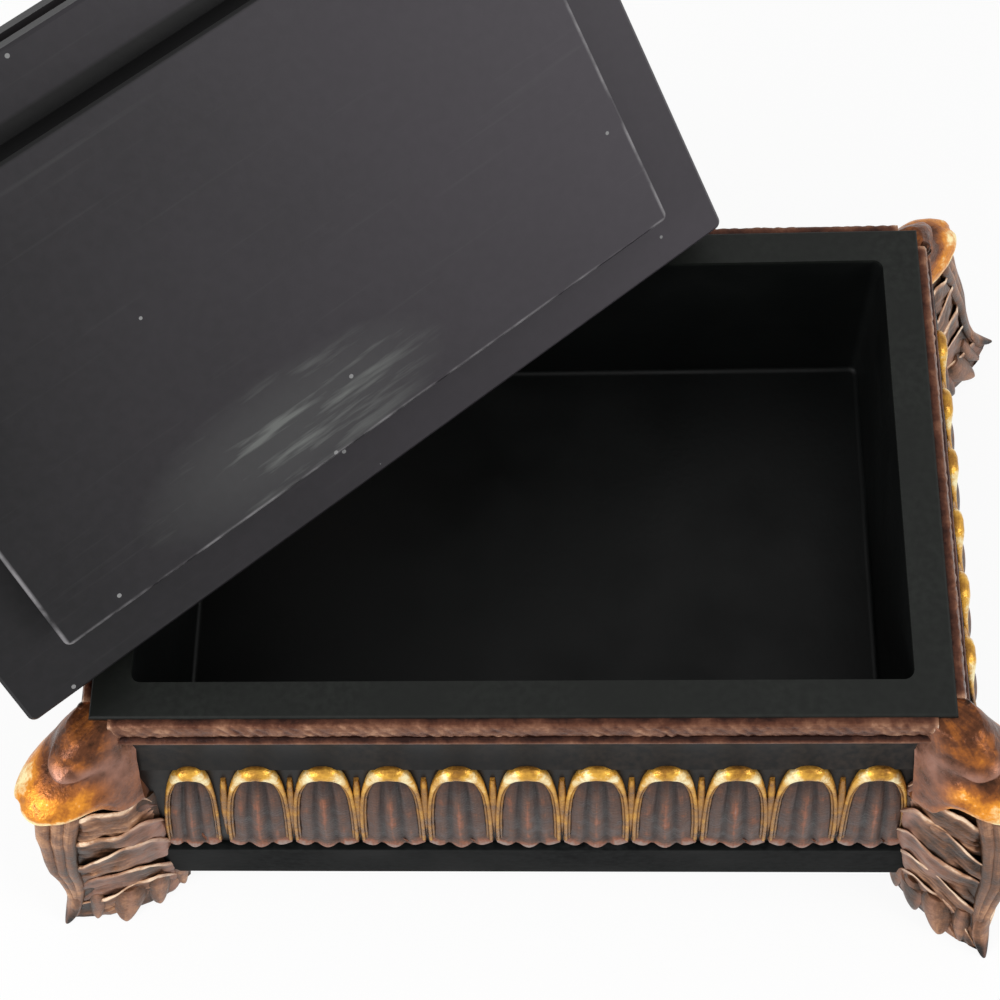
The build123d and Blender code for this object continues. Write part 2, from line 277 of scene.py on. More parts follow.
def make_metal(name, stops, roughness, metallic, streak_share=0.3, blotch_share=0.35):
    """Painted metal: its colour follows the piece's tone, broken by streaks and blotches."""
    material, tree, shader = new_material(name)
    tone = tree.nodes.new("ShaderNodeAttribute")
    tone.attribute_name = "tone"
    grained = effect(tree, streaks, 1.0)
    cloudy = effect(tree, blotches, 260, 0.3, 0.7)
    fine = effect(tree, blotches, 1500, 0.3, 0.7)
    level = tone.outputs["Fac"]
    for wave, share in ((grained, streak_share), (cloudy, blotch_share), (fine, 0.12)):
        swing = multiply(tree, calculate(tree, "SUBTRACT", wave, 0.5), share)
        level = calculate(tree, "ADD", level, swing)
    ramp = tree.nodes.new("ShaderNodeValToRGB")
    while len(ramp.color_ramp.elements) < len(stops):
        ramp.color_ramp.elements.new(0.5)
    for element, (place, colour) in zip(ramp.color_ramp.elements, stops):
        element.position = place
        element.color = (*colour, 1)
    tree.links.new(level, ramp.inputs["Fac"])
    blush = tree.nodes.new("ShaderNodeAttribute")
    blush.attribute_name = "blush"
    rosy = multiply(tree, blush.outputs["Fac"], calculate(tree, "ADD", cloudy, 0.4), True)
    colour = blend(tree, rosy, ramp.outputs["Color"], rosy_tarnish_and_highlight)
    tree.links.new(colour, shader.inputs["Base Color"])
    shader.inputs["Metallic"].default_value = metallic
    shader.inputs["Specular IOR Level"].default_value = 0.2
    dull = multiply(tree, calculate(tree, "SUBTRACT", cloudy, 0.5), 0.25)
    tree.links.new(calculate(tree, "ADD", dull, roughness), shader.inputs["Roughness"])
    add_bump(tree, shader, calculate(tree, "ADD", grained, fine), 0.35, 0.15)
    return material


gilt = make_metal(
    "gilt",
    [
        (0.0, (0.012, 0.006, 0.003)),
        (0.3, (0.12, 0.04, 0.016)),
        (0.55, (0.355, 0.112, 0.022)),
        (0.8, (0.78, 0.29, 0.03)),
        (1.0, (1.0, 0.85, 0.45)),
    ],
    0.36, 0.55,
)
gold_leaf = make_metal(
    "gold_leaf",
    [
        (0.0, (0.012, 0.008, 0.005)),
        (0.3, (0.12, 0.06, 0.028)),
        (0.55, (0.34, 0.155, 0.025)),
        (0.8, (0.74, 0.4, 0.06)),
        (1.0, (1.0, 0.9, 0.55)),
    ],
    0.33, 0.55, 0.15, 0.3,
)
bronze = make_metal(
    "bronze",
    [
        (0.0, (0.008, 0.006, 0.005)),
        (0.3, (0.065, 0.03, 0.015)),
        (0.55, (0.195, 0.09, 0.048)),
        (0.8, (0.47, 0.245, 0.13)),
        (1.0, (0.92, 0.69, 0.49)),
    ],
    0.42, 0.4,
)
tongue_brown = make_metal(
    "tongue_brown",
    [
        (0.0, (0.01, 0.007, 0.006)),
        (0.35, (0.042, 0.022, 0.017)),
        (0.6, (0.095, 0.047, 0.031)),
        (0.78, (0.25, 0.09, 0.046)),
        (1.0, (0.31, 0.23, 0.2)),
    ],
    0.45, 0.3, 0.35, 0.3,
)
copper = make_metal(
    "copper",
    [
        (0.0, (0.02, 0.006, 0.004)),
        (0.3, (0.09, 0.032, 0.018)),
        (0.55, (0.2, 0.09, 0.052)),
        (0.8, (0.42, 0.23, 0.14)),
        (1.0, (0.9, 0.75, 0.62)),
    ],
    0.4, 0.45, 0.2, 0.4,
)


def make_black(name, colour, dust, roughness, gloss, deep=None):
    """Satin black resin with cloudy dust, specks and a fine orange-peel surface.

    deep is a height under which the colour is painted shade, the near-black of a shaded cavity.
    """
    painted_cavity_shade = (0.0014, 0.0018, 0.0018)
    cavity_shade_share = 0.92
    speck_grey = (0.2, 0.19, 0.19)
    material, tree, shader = new_material(name)
    cloudy = effect(tree, blotches, 45, 0.35, 0.75)
    fine = effect(tree, blotches, 700, 0.35, 0.65)
    base = blend(tree, multiply(tree, cloudy, fine), colour, dust)
    base = blend(tree, effect(tree, specks, 190, 0.09, 0.06), base, speck_grey)
    # Painted shade: below deep the colour turns near-black, as the shaded inside of the box
    if deep is not None:
        place = tree.nodes.new("ShaderNodeTexCoord")
        split = tree.nodes.new("ShaderNodeSeparateXYZ")
        tree.links.new(place.outputs["Object"], split.inputs[0])
        under = calculate(tree, "LESS_THAN", split.outputs["Z"], deep * MM)
        base = blend(tree, multiply(tree, under, cavity_shade_share), base, painted_cavity_shade)
    tree.links.new(base, shader.inputs["Base Color"])
    shader.inputs["Specular IOR Level"].default_value = gloss
    rough = multiply(tree, cloudy, 0.2)
    tree.links.new(calculate(tree, "ADD", rough, roughness), shader.inputs["Roughness"])
    add_bump(tree, shader, fine, 0.12, 0.1)
    return material


# The lid's own frame: x along its long edge, y up its slope, z out of its underside
lid_turn = math.radians(38.5)
lid_slope = math.radians(52.5)
flange = 5.0
lid_edge = Vector((math.cos(lid_turn), math.sin(lid_turn), 0))
lid_rise = Vector((
    -math.sin(lid_turn) * math.cos(lid_slope),
    math.cos(lid_turn) * math.cos(lid_slope),
    math.sin(lid_slope),
))
lid_out = lid_edge.cross(lid_rise)
panel_low, panel_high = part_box("lid_panel")
lid_origin = (panel_low + panel_high) / 2 + lid_out * (flange / 2) * MM
lid_axes = Matrix((lid_edge, lid_rise, lid_out)).transposed().to_4x4()
lid_matrix = Matrix.Translation(lid_origin) @ lid_axes
plug_half_length = 68.3
plug_half_width = 39.35

# Where the lid's black changes, in the lid's own frame, and the colours it takes
# The dust grey is partly a painted sheen, the scuff grey partly a painted sheen,
# the edge black is painted shade and the worn grey partly a painted highlight
dust_and_sheen_span = (-60, 73)
sheen_scuff_middle = (-14, -30)
sheen_scuff_reach = (34, 13)
plug_face = (7.3, 7.9)
flange_edge_shade = (-1.4, -0.3)
charcoal = (0.004, 0.004, 0.0045)
dust_and_sheen_grey = (0.052, 0.046, 0.054)
sheen_scuff_grey = (0.125, 0.13, 0.125)
edge_shade_black = (0.003, 0.003, 0.0035)
shadow_black = (0.001, 0.001, 0.001)
worn_highlight_grey = (0.3, 0.29, 0.3)
grain_grey = (0.22, 0.22, 0.22)


def between(tree, value, low, high, first=0.0, last=1.0):
    """A value spread from one range to another and held at its ends."""
    spread = tree.nodes.new("ShaderNodeMapRange")
    tree.links.new(value, spread.inputs["Value"])
    ends = {"From Min": low, "From Max": high, "To Min": first, "To Max": last}
    for title, number in ends.items():
        spread.inputs[title].default_value = number
    return spread.outputs[0]


def band(tree, value, low, high, first=0.0, last=1.0):
    """A place spread from one range, in millimetres, to another and held at its ends."""
    return between(tree, value, low * MM, high * MM, first, last)


def lid_space(tree):
    """Object coordinates turned into the lid's frame, whole and as x, y and z."""
    place = tree.nodes.new("ShaderNodeTexCoord")
    local = tree.nodes.new("ShaderNodeMapping")
    local.vector_type = "TEXTURE"
    local.inputs["Location"].default_value = lid_origin
    local.inputs["Rotation"].default_value = lid_matrix.to_euler("XYZ")
    split = tree.nodes.new("ShaderNodeSeparateXYZ")
    tree.links.new(place.outputs["Object"], local.inputs["Vector"])
    tree.links.new(local.outputs["Vector"], split.inputs[0])
    return local.outputs["Vector"], *split.outputs


def add_strokes(tree, space, along, across, low, high):
    """Streaks that run along the lid."""
    stretch = tree.nodes.new("ShaderNodeMapping")
    stretch.inputs["Scale"].default_value = (along, across, along)
    wave = tree.nodes.new("ShaderNodeTexNoise")
    wave.inputs["Scale"].default_value = 1.0
    wave.inputs["Detail"].default_value = 5
    tree.links.new(space, stretch.inputs["Vector"])
    tree.links.new(stretch.outputs[0], wave.inputs["Vector"])
    return between(tree, wave.outputs["Fac"], low, high)


def sheen_scuff_patch(tree, x, y):
    """An oval where the plug's face is scuffed and given a painted sheen, strongest in its middle.
    """
    squares = []
    for place, middle, reach in zip((x, y), sheen_scuff_middle, sheen_scuff_reach):
        far = calculate(tree, "DIVIDE", calculate(tree, "SUBTRACT", place, middle * MM), reach * MM)
        squares.append(multiply(tree, far, far))
    return calculate(tree, "SUBTRACT", 1.0, calculate(tree, "ADD", *squares), True)


def upper_shadow(tree, x, y):
    """The dark band of the plug's upper side and of the flange beside it."""
    start = band(tree, y, plug_half_width - 0.9, plug_half_width - 0.3)
    away = band(tree, y, plug_half_width + 2.6, plug_half_width + 3.4, 1.0, 0.0)
    near = band(tree, x, plug_half_length + 0.3, plug_half_length + 1.2, 1.0, 0.0)
    return multiply(tree, start, multiply(tree, away, near))


def rubbed_edge_highlight(tree, x, y, z):
    """The plug's two ends and its lower side: worn edges with a painted highlight along them."""
    end = calculate(tree, "SUBTRACT", calculate(tree, "ABSOLUTE", x, 0.0), plug_half_length * MM)
    foot = calculate(tree, "SUBTRACT", multiply(tree, y, -1.0), plug_half_width * MM)
    border = calculate(tree, "ADD", calculate(tree, "MAXIMUM", end, foot), 0.35 * MM)
    rubbed_highlight = band(tree, calculate(tree, "ABSOLUTE", border, 0.0), 0.15, 0.55, 1.0, 0.0)
    below = calculate(tree, "LESS_THAN", y, (plug_half_width - 1) * MM)
    rubbed_highlight = multiply(tree, rubbed_highlight, below)
    return multiply(tree, rubbed_highlight, band(tree, z, *plug_face))


def make_lid_black():
    """The lid's charcoal black: dust and a painted sheen to the right, scuffs with a painted sheen
    along its length, painted shade on its edge, a painted shadow by the plug and rubbed edges with
    a painted highlight.
    """
    material, tree, shader = new_material("lid_black")
    space, x, y, z = lid_space(tree)
    cloudy = effect(tree, blotches, 28, 0.3, 0.75)
    fine = effect(tree, blotches, 500, 0.35, 0.65)
    # Lighter towards the right: partly dust, partly a painted sheen
    dust_and_sheen = band(tree, x, *dust_and_sheen_span)
    dust_and_sheen = calculate(tree, "ADD", dust_and_sheen, multiply(tree, cloudy, 0.16))
    dust_and_sheen = calculate(tree, "ADD", dust_and_sheen, multiply(tree, fine, 0.07))
    base = blend(tree, multiply(tree, dust_and_sheen, 0.82, True), charcoal, dust_and_sheen_grey)
    # An oval of scuff streaks carrying a painted sheen over a soft painted haze, and faint streaks
    # along the whole lid
    patch = sheen_scuff_patch(tree, x, y)
    sheen_haze = multiply(tree, patch, 0.22)
    sheen_scuff = multiply(tree, patch, add_strokes(tree, space, 55, 520, 0.53, 0.68), True)
    light = calculate(tree, "ADD", sheen_haze, multiply(tree, sheen_scuff, 0.8), True)
    faint = multiply(tree, add_strokes(tree, space, 25, 900, 0.62, 0.8), 0.1)
    base = blend(tree, calculate(tree, "MAXIMUM", light, faint), base, sheen_scuff_grey)
    base = blend(tree, effect(tree, specks, 105, 0.045, 0.6), base, grain_grey)
    # Painted shade on the lid's edge and the parts past it
    base = blend(tree, band(tree, z, *flange_edge_shade, 0.7, 0.0), base, edge_shade_black)
    shadow = multiply(tree, upper_shadow(tree, x, y), 0.97)
    base = blend(tree, shadow, base, shadow_black)
    # The plug's rubbed edges: partly wear, partly a painted highlight, broken by streaks
    strokes = add_strokes(tree, space, 160, 160, 0.38, 0.62)
    worn = multiply(tree, rubbed_edge_highlight(tree, x, y, z), strokes)
    base = blend(tree, multiply(tree, worn, 0.6), base, worn_highlight_grey)
    tree.links.new(base, shader.inputs["Base Color"])
    shader.inputs["Specular IOR Level"].default_value = 0.24
    rough = calculate(tree, "ADD", multiply(tree, cloudy, 0.15), 0.42)
    rough = calculate(tree, "ADD", rough, multiply(tree, sheen_scuff, 0.15))
    tree.links.new(rough, shader.inputs["Roughness"])
    add_bump(tree, shader, fine, 0.12, 0.1)
    return material


plinth_black = make_black("plinth_black", (0.0025, 0.003, 0.003), (0.011, 0.012, 0.012), 0.5, 0.02)
cove_black = make_black("cove_black", (0.006, 0.006, 0.006), (0.026, 0.02, 0.016), 0.42, 0.2)
rim_black = make_black(
    "rim_black", (0.006, 0.007, 0.006), (0.013, 0.015, 0.013), 0.42, 0.2, rim_top - 0.9,
)
lid_black = make_lid_black()
board_black = make_black("board_black", (0.02, 0.02, 0.02), (0.03, 0.03, 0.03), 0.7, 0.4)
felt_black = make_black("felt_black", (0.006, 0.006, 0.006), (0.012, 0.012, 0.012), 0.95, 0.2)


# Building pieces
def share_of(value, low, high):
    """A value's share of the way from low to high, held at 0 and 1."""
    return min(1.0, max(0.0, (value - low) / (high - low)))


def ease(value, low, high):
    """0 below low, 1 above high and a smooth step between."""
    share = share_of(value, low, high)
    return share * share * (3 - 2 * share)


def hump(value, middle, width):
    """A bell of height 1 about a middle."""
    return math.exp(-(((value - middle) / width) ** 2))


def along(first, last, share):
    """A size at a share of the way from first to last."""
    return first + (last - first) * share


def ripple(x, y, z):
    """Smooth noise about 0, the same in every run."""
    return noise.noise(Vector((x, y, z)))


def read_profile(profile, value, pace=share_of):
    """What a list of (place, size) pairs gives at a place, held past its last."""
    for (low, first), (high, second) in zip(profile, profile[1:]):
        if value <= high:
            return along(first, second, pace(value, low, high))
    return profile[-1][1]


def loop_point(points, share):
    """A point on the smooth closed curve through points, at a share of the way round."""
    count = len(points)
    spot = (share % 1.0) * count
    first = int(spot) % count
    f = spot - int(spot)
    a, b, c, d = (points[(first + step) % count] for step in (-1, 0, 1, 2))
    return tuple(
        0.5 * (2 * q + (r - p) * f + (2 * p - 5 * q + 4 * r - s) * f * f
               + (3 * q - p - 3 * r + s) * f * f * f)
        for p, q, r, s in zip(a, b, c, d)
    )


def make_loft(name, rings, around, place, material, seed=0.0, sharp=40):
    """A closed piece from a grid: place(u, v) gives each point and its tone.

    u runs from end to end, v goes round, and both ends are closed. A piece may give a
    blush as well, its share of rosy colour, partly tarnish and partly a painted highlight.
    """
    bpy.ops.object.select_all(action="DESELECT")
    bpy.ops.mesh.primitive_grid_add(x_subdivisions=rings, y_subdivisions=around, size=1)
    piece = bpy.context.object
    piece.name = name
    mesh = piece.data
    tones = []
    blushes = []
    grains = []
    for vertex in mesh.vertices:
        u, v = vertex.co.x + 0.5, vertex.co.y + 0.5
        point, tone, *rosy = place(u, v)
        vertex.co = MM * Vector(point)
        tones.append(tone)
        blushes.append(rosy[0] if rosy else 0.0)
        grains.extend((u, v, seed))
    mesh.attributes.new("tone", "FLOAT", "POINT").data.foreach_set("value", tones)
    mesh.attributes.new("blush", "FLOAT", "POINT").data.foreach_set("value", blushes)
    mesh.attributes.new("grain", "FLOAT_VECTOR", "POINT").data.foreach_set("vector", grains)
    bpy.ops.object.mode_set(mode="EDIT")
    bpy.ops.mesh.select_all(action="SELECT")
    bpy.ops.mesh.remove_doubles(threshold=0.004 * MM)
    bpy.ops.mesh.fill_holes(sides=0)
    bpy.ops.mesh.normals_make_consistent(inside=False)
    bpy.ops.object.mode_set(mode="OBJECT")
    bpy.ops.object.shade_smooth_by_angle(angle=math.radians(sharp))
    mesh.materials.append(material)
    return piece


def make_tube(name, path, radius, rings, around, material, tone, out, seed=0.0):
    """A tube along path(u), radius(u) thick, whose tone(u, lit) rises where it faces out: a painted
    highlight.
    """
    step = 0.01

    def place(u, v):
        spot = Vector(path(u))
        ahead = Vector(path(min(1, u + step))) - Vector(path(max(0, u - step)))
        side = ahead.cross(out(u)).normalized()
        face = side.cross(ahead).normalized()
        angle = 2 * math.pi * v
        lit = math.cos(angle)
        point = spot + radius(u) * (math.cos(angle) * face + math.sin(angle) * side)
        return point, tone(u, lit)
    return make_loft(name, rings, around, place, material, seed, 60)


def join_pieces(name, pieces):
    """Pieces joined into the first."""
    bpy.ops.object.select_all(action="DESELECT")
    for piece in pieces:
        piece.select_set(True)
    bpy.context.view_layer.objects.active = pieces[0]
    bpy.ops.object.join()
    pieces[0].name = name
    return pieces[0]


def copy_piece(piece, name):
    """A copy with its own mesh."""
    twin = bpy.data.objects.new(name, piece.data.copy())
    scene.collection.objects.link(twin)
    return twin


def settle(piece, body, node):
    """Give a finished piece its body and hide the frame's node it stands for."""
    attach(piece, body)
    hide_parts(node)


# The four walls: turn from the front, distance from the middle, half the strips' length, tongues
Wall = namedtuple("Wall", "turn distance half tongues")
strip_end = half_length - moulding_high.x
walls = {
    "front": Wall(0, half_width, half_length - strip_end, 11),
    "right": Wall(90, half_length, half_width - strip_end, 6),
    "back": Wall(180, half_width, half_length - strip_end, 11),
    "left": Wall(270, half_length, half_width - strip_end, 6),
}


def to_wall(turn, distance):
    """From a piece drawn against a wall at y = 0, out towards -y, to its place about Z."""
    spin = Matrix.Rotation(math.radians(turn), 4, "Z")
    return spin @ Matrix.Translation(Vector((0, -distance, 0)) * MM)


def make_strip(name, half, section, steps, material, relief=None, seed=0.0):
    """A straight length along X whose section lists (out, z, tone, relief share)."""
    def place(u, v):
        x = half * (2 * u - 1)
        out, z, tone, share = section[round(v * len(section)) % len(section)]
        rise = relief(x, z) * share if relief and share else 0.0
        end = 0.45 * ease(abs(x), half - 1.4, half - 0.2) if relief else 0.0
        return (x, -(out + rise), z), tone + rise * 0.9 + end
    return make_loft(name, steps, len(section), place, material, seed, 50)


# Copper mouldings
def moulding_relief(x, z):
    """Small slanted leaves, worn unevenly along the band."""
    lean = x + 0.8 * (z - moulding_low.z) + 0.5 * ripple(x * 0.5, 1.0, 5.0)
    leaf = abs(math.sin(math.pi * lean / 2.3)) ** 0.8 - 0.5
    worn = ripple(x * 0.8, z * 0.9, 3.0)
    return (0.24 * leaf + 0.3 * worn) * (0.6 + 0.8 * ripple(x * 0.09, 0, 7.0))


def moulding_section():
    """A sloping band over a groove and a bead, with painted shade in the groove and on the bead's
    upper inner face.
    """
    top, bottom = moulding_high.z, moulding_low.z
    groove = top - 4.0
    section = [(0.0, top, 0.1, 0), (0.7, top, 0.25, 0.1), (1.3, top - 0.1, 0.42, 0.5)]
    for step in range(8):
        share = step / 7
        swell = 0.2 * math.sin(math.pi * share)
        section.append((1.5 + 0.75 * share + swell, top - 0.3 - 3.5 * share, 0.46, 1))
    section.append((2.1, groove, 0.05, 0))
    section.append((2.05, groove - 0.6, 0.0, 0))
    for step in range(9):
        angle = math.pi * step / 8
        out = 2.25 + 1.05 * math.sin(angle)
        tone = 0.02 + 0.4 * ease(step, 1.2, 3.0)
        section.append((out, groove - 0.6 - 1.0 * (1 - math.cos(angle)), tone, 0.12))
    section.append((0.0, bottom, 0.1, 0))
    return section


for side, wall in walls.items():
    strip = make_strip(
        f"{side}_moulding_copper", wall.half, moulding_section(), int(wall.half * 4), copper,
        moulding_relief, wall.turn,
    )
    strip.data.transform(to_wall(wall.turn, wall.distance))
    settle(strip, "box", f"{side}_moulding")


# Friezes: gilt arches over fluted fields on a black swelling ground
frieze_top_out = 4.2
frieze_foot_out = 10.8
frieze_swell = 1.5
tongue_pitch = 13.3
tongue_half = 6.6
arch_power = 2.9
crown = frieze_top + 0.9
tongue_foot = plinth_top + 2.2
field_half = 5.5
dart_drop = 4.6
dart_length = 26
frieze_fan = 0.045
front_shift = 1.0
front_foot_shift = -0.4
front_crowding = 1.3
first_tongue_slim = 0.86


def frieze_out(z):
    """How far the frieze's ground stands out from the wall at a height."""
    share = share_of(z, frieze_top, plinth_top)
    swell = 4 * frieze_swell * share * (1 - share)
    return along(frieze_top_out, frieze_foot_out, share) + swell


def arch_radius(u):
    """The arch's thickness: heavy at the crown, thin down the legs."""
    return 0.42 + 1.35 * ease(1 - abs(2 * u - 1), 0.35, 0.95)


def arch_path(inset, relief):
    """A path up one leg, over the crown and down the other, drawn in by inset(u)."""
    def path(u):
        angle = math.pi * (1 - u)
        across, up = math.cos(angle), max(0.0, math.sin(angle))
        x = (tongue_half - inset(u)) * math.copysign(abs(across) ** (2 / arch_power), across)
        foot = tongue_foot + 1.0
        z = foot + (crown - foot - inset(u)) * up ** (2 / arch_power)
        return (x, -(frieze_out(z) + relief(u)), z)
    return path


def crown_tone(u, lit):
    """Painted highlights on the crown's two shoulders over a mid gold middle, coppery down the
    legs, and lighter where the arch faces out, a painted highlight.
    """
    height = ease(1 - abs(2 * u - 1), 0.25, 0.75)
    middle = hump(u, 0.5, 0.06)
    return 0.42 + 0.4 * height - 0.28 * middle + 0.14 * lit


def field_place(u, v):
    """The fluted field inside an arch: front from edge to edge, then flat behind."""
    top = crown - 2.0
    scalloped = v < 0.8
    s = v / 0.4 - 1 if scalloped else 1 - (v - 0.8) * 10
    z = along(tongue_foot, top, u)
    half = field_half * (1 - u ** arch_power) ** (1 / arch_power)
    half += 1.4 * (1 - ease(u, 0.02, 0.12))
    lip = 1 - ease(u, 0.0, 0.1)
    z -= lip * 0.75 * abs(math.cos(1.5 * math.pi * s)) * (u < 0.1)
    rib = hump(s, 0, 0.17)
    flute = hump(abs(s), 0.36, 0.12)
    shoulder = hump(abs(s), 0.68, 0.2)
    relief = 0.15 + 0.75 * (1 - s * s) + 0.4 * rib - 0.5 * flute + 0.2 * shoulder
    relief *= 1 - 0.6 * ease(u, 0.75, 1.0)
    relief += 0.5 * lip
    wander = 0.12 * ripple(s * 2, z * 0.15, 9.0)
    out = frieze_out(z) + (relief + wander if scalloped else -0.8)
    if abs(s) > 0.98 and scalloped:
        out = frieze_out(z) - 0.3
    # The rib and shoulders are lighter and the flutes darker; the scalloped lip gets a painted
    # highlight and the field darkens towards its top
    tone = 0.42 + 0.32 * rib * hump(u, 0.42, 0.34) - 0.3 * flute + 0.14 * shoulder
    tone = tone * (1 - 0.5 * ease(u, 0.72, 1.0)) + 0.42 * lip
    return (half * s, -out, z), tone


def make_tongue():
    """One tongue, drawn against a wall at y = 0."""
    def outward(u):
        return Vector((0, -1, 0.15))
    arch = make_tube(
        "arch", arch_path(arch_radius, lambda u: 0.25 + 0.45 * arch_radius(u)), arch_radius,
        60, 12, gold_leaf, crown_tone, outward,
    )
    # The inner arch is lighter over the crown and where it faces out, painted highlights
    inner = make_tube(
        "inner_arch",
        arch_path(lambda u: 2 * arch_radius(u) + 0.25, lambda u: 0.3),
        lambda u: 0.3, 48, 8, gold_leaf,
        lambda u, lit: 0.34 + 0.14 * ease(1 - abs(2 * u - 1), 0.1, 0.8) + 0.1 * lit, outward,
    )
    field = make_loft("field", 34, 40, field_place, tongue_brown, 0.3)
    return join_pieces("tongue", [arch, inner, field])


def dart_place(u, v):
    """A slim blade in the valley between two tongues."""
    z = frieze_top - dart_drop - dart_length * u
    angle = 2 * math.pi * v
    half = (1.15 - 0.75 * u) * math.sqrt(max(0.02, math.sin(math.pi * (0.06 + 0.9 * u))))
    rise = 0.85 - 0.4 * u
    point = (half * math.sin(angle), -(frieze_out(z) + rise * math.cos(angle)), z)
    # The blade's outward face is lighter, a painted highlight
    return point, 0.5 - 0.2 * u + 0.1 * math.cos(angle)


def fan_copy(piece, name, side, shift):
    """A copy set along a frieze, spread at its foot as the frieze widens down to the plinth.

    The front's copies stand a little to the right, the more so at the left end's crowns.
    """
    wall = walls[side]
    twin = copy_piece(piece, name)
    first = side == "front" and shift < -5 * tongue_pitch + 1
    slim = first_tongue_slim if first else 1.0
    for vertex in twin.data.vertices:
        depth = (frieze_top - vertex.co.z / MM) / (frieze_top - plinth_top)
        move = shift * (1 + frieze_fan * depth)
        if side == "front":
            move += along(front_shift, front_foot_shift, depth)
            move += front_crowding * ease(-shift, 15, 68) * (1 - depth)
        vertex.co.x = vertex.co.x * slim + move * MM
    twin.data.transform(to_wall(wall.turn, wall.distance))
    return twin


def ground_section():
    """The black ground that swells out down to the plinth."""
    section = [(0.0, frieze_top, 0.1, 0)]
    for step in range(15):
        z = along(frieze_top, plinth_top, step / 14)
        section.append((frieze_out(z), z, 0.1, 0))
    section.append((0.0, plinth_top, 0.1, 0))
    return section


tongue = make_tongue()
dart = make_loft("dart", 16, 10, dart_place, gold_leaf, 0.6)
for side, wall in walls.items():
    ground = make_strip(f"{side}_ground", wall.half, ground_section(), 8, cove_black)
    ground.data.transform(to_wall(wall.turn, wall.distance))
    parts = [ground]
    for number in range(wall.tongues):
        shift = (number - (wall.tongues - 1) / 2) * tongue_pitch
        parts.append(fan_copy(tongue, "tongue_copy", side, shift))
        if number:
            parts.append(fan_copy(dart, "dart_copy", side, shift - tongue_pitch / 2))
    settle(join_pieces(f"{side}_frieze_gilt", parts), "box", f"{side}_frieze")
bpy.data.objects.remove(tongue)
bpy.data.objects.remove(dart)


# Corner feet: signs of the corner, the keel's turn from the diagonal towards the long side,
# how far the leaflets droop to the margin and sweep down to the keel, and the hood's size
Foot = namedtuple("Foot", "x y keel droop sweep hood")
feet = {
    "front_left": Foot(-1, -1, 0.0, 1.0, 0.0, 1.0),
    "front_right": Foot(1, -1, 14.0, 0.3, 8.0, 1.0),
    "back_left": Foot(-1, 1, 0.0, 1.0, 0.0, 0.9),
    "back_right": Foot(1, 1, -14.0, 0.6, 3.0, 0.74),
}
foot_wrap = 7.0
core_wrap = 3
hood_lip = 56.0
hood_height = 31.0
hood_widest = 34.5

# The leaf's reach from its centre at each height, along its lips
leaf_profile = [
    (-8.3, 42.0), (-2.0, 39.8), (6.0, 38.0), (14.0, 36.8), (22.0, 36.0),
    (30.0, 34.3), (36.0, 33.0), (42.0, 32.0), (48.0, 30.0), (54.0, 28.0), (60.0, 26.5),
]
leaf_root = 2.2


def foot_spot(foot, t, z, reach, lap=0.0, keel_share=0.0):
    """A point of a foot: t is -1 at the end's margin, 0 on the keel, 1 at the long side's."""
    turn = math.radians(45 + (45 + lap) * t + foot.keel * keel_share * (1 - abs(t)))
    return Vector((
        foot.x * (half_length - foot_wrap + reach * math.cos(turn)),
        foot.y * (half_width - foot_wrap + reach * math.sin(turn)),
        z,
    ))


def foot_inside(foot, z):
    """The point inside the box's corner where a foot's open back closes."""
    return (foot.x * (half_length - core_wrap), foot.y * (half_width - core_wrap), z)


def leaf_spot(foot, t, z, lift):
    """A point over the leaf's root surface, which draws in at the margins and a small hood."""
    level = share_of(z, hood_lip, sole)
    share = 0.5 + 0.5 * max(0.0, 1 - abs(t)) ** 1.05
    lap = -10 * ease(36 - z, 0, 40)
    share *= 1 - (1 - foot.hood) * (1 - level) ** 0.8
    reach = read_profile(leaf_profile, z) - leaf_root + lift
    return foot_spot(foot, t, z, reach * share, lap, level)


# A leaflet's section: (share of its half height, lift from the root surface, tone)
# Its tones paint a highlight on the curled upper edge and shade on the underside and back
leaflet_section = [
    (1.0, 1.9, 0.7), (0.96, 2.35, 0.95), (0.86, 2.45, 0.85), (0.74, 2.0, 0.5),
    (0.55, 1.6, 0.36), (0.3, 1.6, 0.46), (0.05, 1.3, 0.42), (-0.25, 1.45, 0.5),
    (-0.6, 1.2, 0.4), (-0.9, 0.7, 0.26), (-1.0, 0.0, 0.08), (-0.6, -0.7, 0.05),
    (0.0, -0.5, 0.05), (0.6, 0.3, 0.06), (0.9, 1.2, 0.2),
]

# Each leaflet's upper edge, half height, droop to the margin and reach towards it
leaflets = [
    (52.5, 8.0, 6.0, 0.96),
    (43.0, 8.0, 7.0, 1.0),
    (31.0, 8.0, 7.0, 1.0),
    (18.5, 8.0, 9.0, 0.98),
    (6.5, 7.4, 6.0, 0.93),
]
rib_leans = (-0.25, -0.13, 0.0, 0.12, 0.22)
rib_span = 62

# Each side toe's place from the keel, lift, width, tone at its heel and rise to its point
toes = [
    (0.18, 0.8, 2.6, 0.3, 0.15),
    (0.44, 3.6, 4.4, 0.36, 0.12),
    (0.7, 2.4, 3.4, 0.34, 0.14),
    (0.94, 1.2, 2.4, 0.5, 0.0),
]
toe_height = 13


def rib_start(z):
    """Where the leaflets leave the bundle of ribs on the keel, which narrows downwards."""
    return 0.03 + 0.24 * share_of(z, sole, sole + rib_span)


